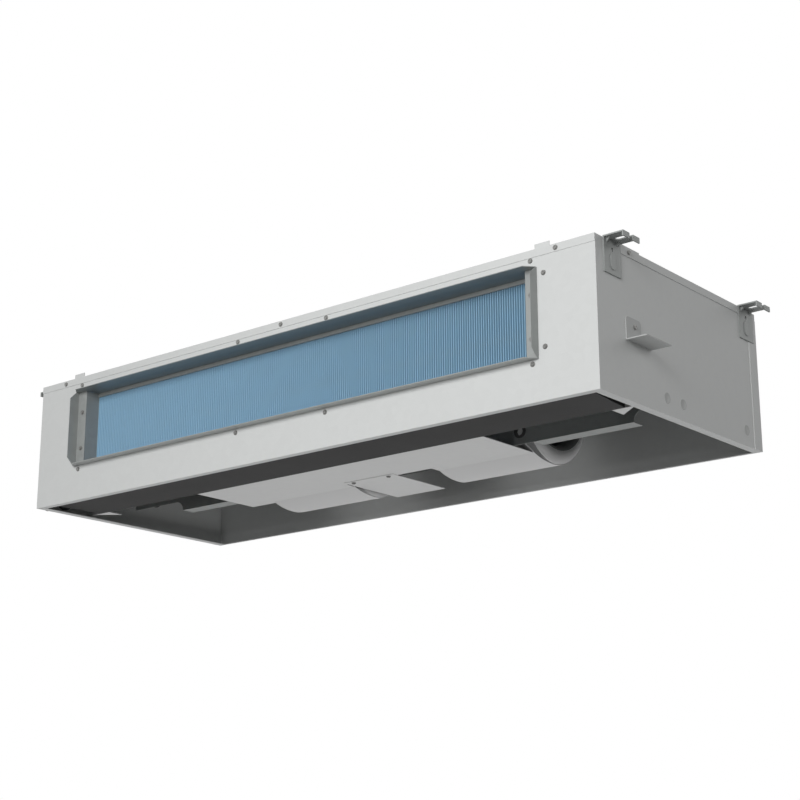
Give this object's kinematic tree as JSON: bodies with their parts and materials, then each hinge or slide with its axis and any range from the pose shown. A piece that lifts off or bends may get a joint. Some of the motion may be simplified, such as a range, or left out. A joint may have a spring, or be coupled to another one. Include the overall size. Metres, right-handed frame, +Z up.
{
  "type": "ceiling-mount air handler",
  "caption": "Slim ducted fan-coil unit for a ceiling void, bottom panel off: finned coil behind a flanged outlet, drain pan, partition and belly-shaped fan housings, slotted hangers.",
  "frame": {"origin": "centre of the four hanger slots, level with the top of the casing", "axes": "+X along the casing's width, away from the electrical box; +Y from the air outlet to the rear; +Z up"},
  "size_m": [1.26, 0.466, 0.23],
  "materials": {
    "steel": "galvanised sheet, dull",
    "zinc": "zinc plated",
    "foam": "closed-cell foam",
    "fins": "pale blue coating",
    "copper": "copper tube",
    "brass": "satin",
    "pan": "moulded foam with a plastic skin",
    "housing": "moulded, matt",
    "wheel": "moulded, matt",
    "shaft": "ground steel",
    "motor": "satin paint",
    "rubber": "matt",
    "board": "printed board",
    "terminal": "moulded"
  },
  "bodies": {
    "casing": {"top_panel": "steel", "front_panel": "steel", "rear_panel": "steel", "right_panel": "steel", "left_panel": "steel", "duct_flange_top": "steel", "duct_flange_bottom": "steel", "duct_flange_left": "steel", "duct_flange_right": "steel", "hangers_front": "steel", "hangers_rear": "steel", "side_bracket": "steel", "coil_end_plate_left": "steel", "coil_end_plate_right": "steel", "coil_baffle": "steel", "pan_bracket_left": "steel", "pan_bracket_right": "steel", "partition_plate": "steel", "deck_plate": "steel", "motor_cover": "steel", "motor_bracket": "steel", "motor_clamps": "steel", "electric_box": "steel", "electric_box_cover": "steel", "outlet_screws": "zinc", "casing_screws": "zinc", "top_foam": "foam", "side_foam_left": "foam", "side_foam_right": "foam", "coil_fin_pack": "fins", "return_bends": "copper", "gas_header": "copper", "liquid_header": "copper", "flare_nuts": "brass", "drain_pan": "pan", "fan_housing_left_upper": "housing", "fan_housing_left_lower": "housing", "fan_housing_right_upper": "housing", "fan_housing_right_lower": "housing", "inlet_rings": "housing", "motor_housing": "motor", "motor_rubber_rings": "rubber", "cable_grommets": "rubber", "control_board": "board", "terminal_block": "terminal"},
    "rotor": {"wheel_blades_left": "wheel", "wheel_rims_left": "wheel", "wheel_disc_left": "wheel", "wheel_blades_right": "wheel", "wheel_rims_right": "wheel", "wheel_disc_right": "wheel", "fan_shaft": "shaft"}
  },
  "joints": [
    {"name": "fan_spin", "type": "hinge", "parent": "casing", "child": "rotor", "pos_m": [0, 0.1085, -0.112], "axis": [1, 0, 0], "continuous": true}
  ]
}
